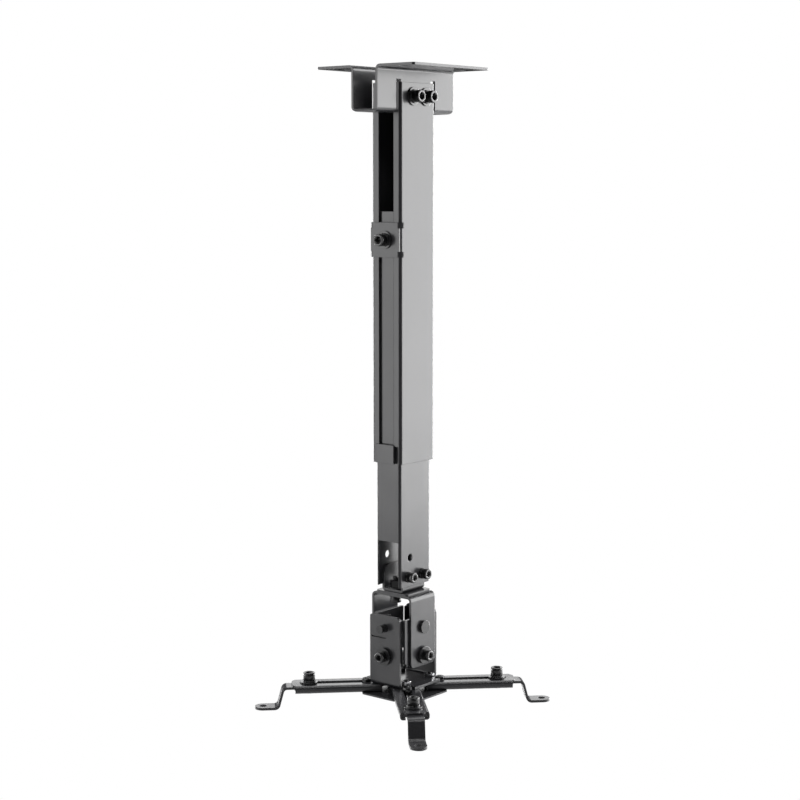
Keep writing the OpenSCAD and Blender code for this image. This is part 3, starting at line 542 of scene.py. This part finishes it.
def addScrews(name, settings, tree):
    screw = settings["screw"]
    spots = bpy.data.meshes.new(name + "Spots")
    spots.from_pydata([place for place, way in settings["places"]], [], [])
    look = spots.attributes.new("look", "FLOAT_VECTOR", "POINT")
    for k, (place, way) in enumerate(settings["places"]):
        look.data[k].vector = lookTurns[way]
    spotObject = addObject(name + "Spots", spots)
    piece = addObject(name, screwMesh(name, settings))
    modifier = piece.modifiers.new("screws", "NODES")
    modifier.node_group = tree
    socketOf = {item.name: item.identifier for item in tree.interface.items_tree
                if item.in_out == "INPUT"}
    ridgeStep = 2 * math.pi * screw["headRadius"] / max(screw["ridgeCount"], 1)
    ridgeWidth = ridgeStep * screwForm["ridgeShare"]
    ridgeLength = screw["headHeight"] - screw["rimChamfer"] - screwForm["ridgeShort"]
    pitch = screw["threadPitch"]
    chosen = {
        "Places": spotObject,
        "Ridge Count": screw["ridgeCount"],
        "Ridge Circle": screw["headRadius"] - screwForm["ridgeSink"] * ridgeWidth,
        "Ridge Width": ridgeWidth,
        "Ridge Length": ridgeLength,
        "Ridge Middle": screwForm["ridgeFoot"] + ridgeLength / 2,
        "Turn Count": int(settings["thread"] / pitch),
        "Turn Pitch": pitch,
        "Turn Radius": screw["shankRadius"],
        "Turn Core": screw["shankRadius"] - screw["threadDepth"],
        "Turn Start": -settings["length"] + screwForm["tipLength"],
        "Finish": finishes["black_bolt"],
    }
    for label, value in chosen.items():
        modifier[socketOf[label]] = value
    makePlain(piece)
    bpy.data.objects.remove(spotObject)
    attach(piece, bodyOf[settings["node"]])
    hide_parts(settings["node"])


screwNodes = screwTree()
for name, settings in screwSets.items():
    addScrews(name, settings, screwNodes)
print("screws made:", len(screwSets))

# The clamp plate's tabs wrap round the corners of the outer tube, in metres
clampPlate = {
    "front": -0.0226,
    "sheet": 0.0015,
    "halfFlat": 0.0122,
    "halfWidth": 0.0141,
    "foldRadius": 0.0024,
    "foldAngle": math.radians(88),
    "foldSteps": 10,
    "middle": clampLevel,
    "height": 0.027,
    "tabHeight": 0.0045,
    "holeRadius": 0.00325,
    "holeSides": 48,
    "cutDepth": 0.006,
}


def clampProfile(settings):
    # pairs of front and back points, from the tip of one tab to the tip of the other
    sheet, fold = settings["sheet"], settings["foldRadius"]
    centerX = settings["front"] + sheet + fold
    bend = []
    for k in range(settings["foldSteps"] + 1):
        angle = settings["foldAngle"] * k / settings["foldSteps"]
        bend.append([
            (centerX - r * math.cos(angle), settings["halfFlat"] + r * math.sin(angle))
            for r in (fold + sheet, fold)
        ])
    mirrored = [[(x, -y) for x, y in pair] for pair in reversed(bend)]
    return mirrored + bend


def clampMesh(name, settings):
    profile = clampProfile(settings)
    flat = settings["foldSteps"]
    spans = len(profile) - 1
    # between the tabs the plate is flat to its cut edges
    wings = {flat: spans + 1, flat + 1: spans + 2}
    front, back = settings["front"], settings["front"] + settings["sheet"]
    for side in (-1, 1):
        profile.append([(x, side * settings["halfWidth"]) for x in (front, back)])
    half = settings["height"] / 2
    tab = half - settings["tabHeight"]
    levels = [settings["middle"] + z for z in (-half, -tab, tab, half)]
    strips = [(i, i + 1, j) for i in range(spans) for j in (0, 1, 2) if i == flat or j != 1]
    strips += [(inner, outer, 1) for inner, outer in wings.items()]
    cells = [((i, j), (m, j), (m, j + 1), (i, j + 1)) for i, m, j in strips]

    bm = bmesh.new()
    corners = {}

    def corner(spot, side):
        if (spot, side) not in corners:
            x, y = profile[spot[0]][side]
            corners[spot, side] = bm.verts.new((x, y, levels[spot[1]]))
        return corners[spot, side]

    uses = {}
    for cell in cells:
        for side in (0, 1):
            bm.faces.new([corner(spot, side) for spot in cell])
        for pair in zip(cell, cell[1:] + cell[:1]):
            uses.setdefault(frozenset(pair), []).append(pair)
    # an edge that only one cell has is a cut edge of the sheet
    for pairs in uses.values():
        if len(pairs) == 1:
            first, second = pairs[0]
            bm.faces.new((corner(first, 0), corner(second, 0), corner(second, 1), corner(first, 1)))
    bmesh.ops.recalc_face_normals(bm, faces=bm.faces)
    mesh = bpy.data.meshes.new(name)
    bm.to_mesh(mesh)
    bm.free()
    return mesh


def holeCutter(settings):
    bm = bmesh.new()
    turn = Matrix.Rotation(math.pi / 2, 4, "Y")
    place = Matrix.Translation((settings["front"], 0.0, settings["middle"]))
    bmesh.ops.create_cone(
        bm, cap_ends=True, segments=settings["holeSides"], radius1=settings["holeRadius"],
        radius2=settings["holeRadius"], depth=settings["cutDepth"], matrix=place @ turn)
    mesh = bpy.data.meshes.new("holeCutter")
    bm.to_mesh(mesh)
    bm.free()
    return addObject("holeCutter", mesh)


def addClampPlate(settings):
    piece = addObject("foldedClampPlate", clampMesh("foldedClampPlate", settings))
    cutter = holeCutter(settings)
    cut = piece.modifiers.new("boltHole", "BOOLEAN")
    cut.operation = "DIFFERENCE"
    cut.solver = "EXACT"
    cut.object = cutter
    makePlain(piece)
    bpy.data.objects.remove(cutter)
    mesh = piece.data
    for face in mesh.polygons:
        face.use_smooth = True
    mesh.set_sharp_from_angle(angle=sharpAngle)
    mesh.materials.clear()
    mesh.materials.append(finishes[slotOf["clamp_plate"]])
    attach(piece, bodyOf["clamp_plate"])
    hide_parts("clamp_plate")


addClampPlate(clampPlate)
print("clamp plate folded")

# A grey floor that the lens alone sees as white
floorSet = {"half": 6.0, "level": -1.1, "color": (0.62, 0.62, 0.62, 1.0), "roughness": 0.9}


def addFloor(settings):
    mesh = bpy.data.meshes.new("floor")
    half, level = settings["half"], settings["level"]
    mesh.from_pydata(
        [(-half, -half, level), (half, -half, level), (half, half, level), (-half, half, level)],
        [],
        [(0, 1, 2, 3)],
    )
    floor = addObject("floor", mesh)
    material = bpy.data.materials.new("paleFloor")
    material.use_nodes = True
    tree = material.node_tree
    pale = tree.nodes["Principled BSDF"]
    pale.inputs["Base Color"].default_value = settings["color"]
    pale.inputs["Roughness"].default_value = settings["roughness"]
    glow = tree.nodes.new("ShaderNodeEmission")
    path = tree.nodes.new("ShaderNodeLightPath")
    mix = tree.nodes.new("ShaderNodeMixShader")
    linkNodes(
        tree,
        (path.outputs["Is Camera Ray"], mix.inputs[0]),
        (pale.outputs[0], mix.inputs[1]),
        (glow.outputs[0], mix.inputs[2]),
        (mix.outputs[0], tree.nodes["Material Output"].inputs["Surface"]),
    )
    mesh.materials.append(material)


# Large soft boxes and narrow strips: where they stand, their size and their power in watts
softBoxes = {
    "broadFaceBox": {"place": (2.3, -1.9, 0.2), "size": (2.6, 2.53), "power": 157.0},
    "openSideBox": {"place": (-2.2, 1.8, 0.15), "size": (1.6, 2.33), "power": 41.5},
    "topBox": {"place": (0.6, 0.5, 2.2), "size": (2.4, 2.4), "power": 60.0},
    "backBox": {"place": (2.2, 1.19, 0.4), "size": (2.0, 0.7), "power": 10.5},
    "frontTopStrip": {"place": (-1.4, -1.15, 1.9), "size": (1.6, 0.5), "power": 18.0},
    "leftRimStrip": {"place": (0.3, 2.6, 0.0), "size": (0.5, 2.4), "power": 70.0},
    "rightRimStrip": {"place": (2.7, -0.1, 0.0), "size": (0.5, 2.4), "power": 80.0},
}
softBoxAim = Vector((0, 0, -0.25))


def addSoftBox(name, settings):
    light = bpy.data.lights.new(name, "AREA")
    light.shape = "RECTANGLE"
    light.size, light.size_y = settings["size"]
    light.energy = settings["power"]
    box = addObject(name, light)
    box.location = settings["place"]
    box.visible_camera = False
    aim = softBoxAim - box.location
    box.rotation_euler = aim.to_track_quat("-Z", "Y").to_euler()


# A dim room round the object that the lens alone sees as white
roomSet = {"white": (1.0, 1.0, 1.0, 1.0), "seen": 1.0, "around": 0.06}


def setRoom(settings):
    world = bpy.data.worlds.new("studio")
    bpy.context.scene.world = world
    world.use_nodes = True
    tree = world.node_tree
    seen = tree.nodes["Background"]
    seen.inputs["Color"].default_value = settings["white"]
    seen.inputs["Strength"].default_value = settings["seen"]
    around = tree.nodes.new("ShaderNodeBackground")
    around.inputs["Color"].default_value = settings["white"]
    around.inputs["Strength"].default_value = settings["around"]
    path = tree.nodes.new("ShaderNodeLightPath")
    mix = tree.nodes.new("ShaderNodeMixShader")
    linkNodes(
        tree,
        (path.outputs["Is Camera Ray"], mix.inputs[0]),
        (around.outputs[0], mix.inputs[1]),
        (seen.outputs[0], mix.inputs[2]),
        (mix.outputs[0], tree.nodes["World Output"].inputs["Surface"]),
    )


# Camera of the photograph, in metres and degrees, fitted to the column and the arms
cameraSet = {
    "place": (-1.0731, -0.8779, -0.0876),
    "azimuth": 39.396,
    "pitch": -7.052,
    "roll": -0.03,
    "lens": 79.46,
    "sensor": 36.0,
    "clip": (0.01, 50.0),
}


def addCamera(settings):
    data = bpy.data.cameras.new("camera")
    data.lens = settings["lens"]
    data.sensor_width = settings["sensor"]
    data.clip_start, data.clip_end = settings["clip"]
    camera = addObject("camera", data)
    azimuth = math.radians(settings["azimuth"])
    pitch = math.radians(settings["pitch"])
    aim = Vector((
        math.cos(pitch) * math.cos(azimuth),
        math.cos(pitch) * math.sin(azimuth),
        math.sin(pitch),
    ))
    turn = aim.to_track_quat("-Z", "Y").to_matrix().to_4x4()
    roll = Matrix.Rotation(math.radians(settings["roll"]), 4, "Z")
    camera.matrix_world = Matrix.Translation(settings["place"]) @ turn @ roll
    bpy.context.scene.camera = camera


addFloor(floorSet)
for boxName, boxSettings in softBoxes.items():
    addSoftBox(boxName, boxSettings)
setRoom(roomSet)
addCamera(cameraSet)
bpy.context.scene.view_settings.view_transform = "Standard"
print("stage, light and camera set")
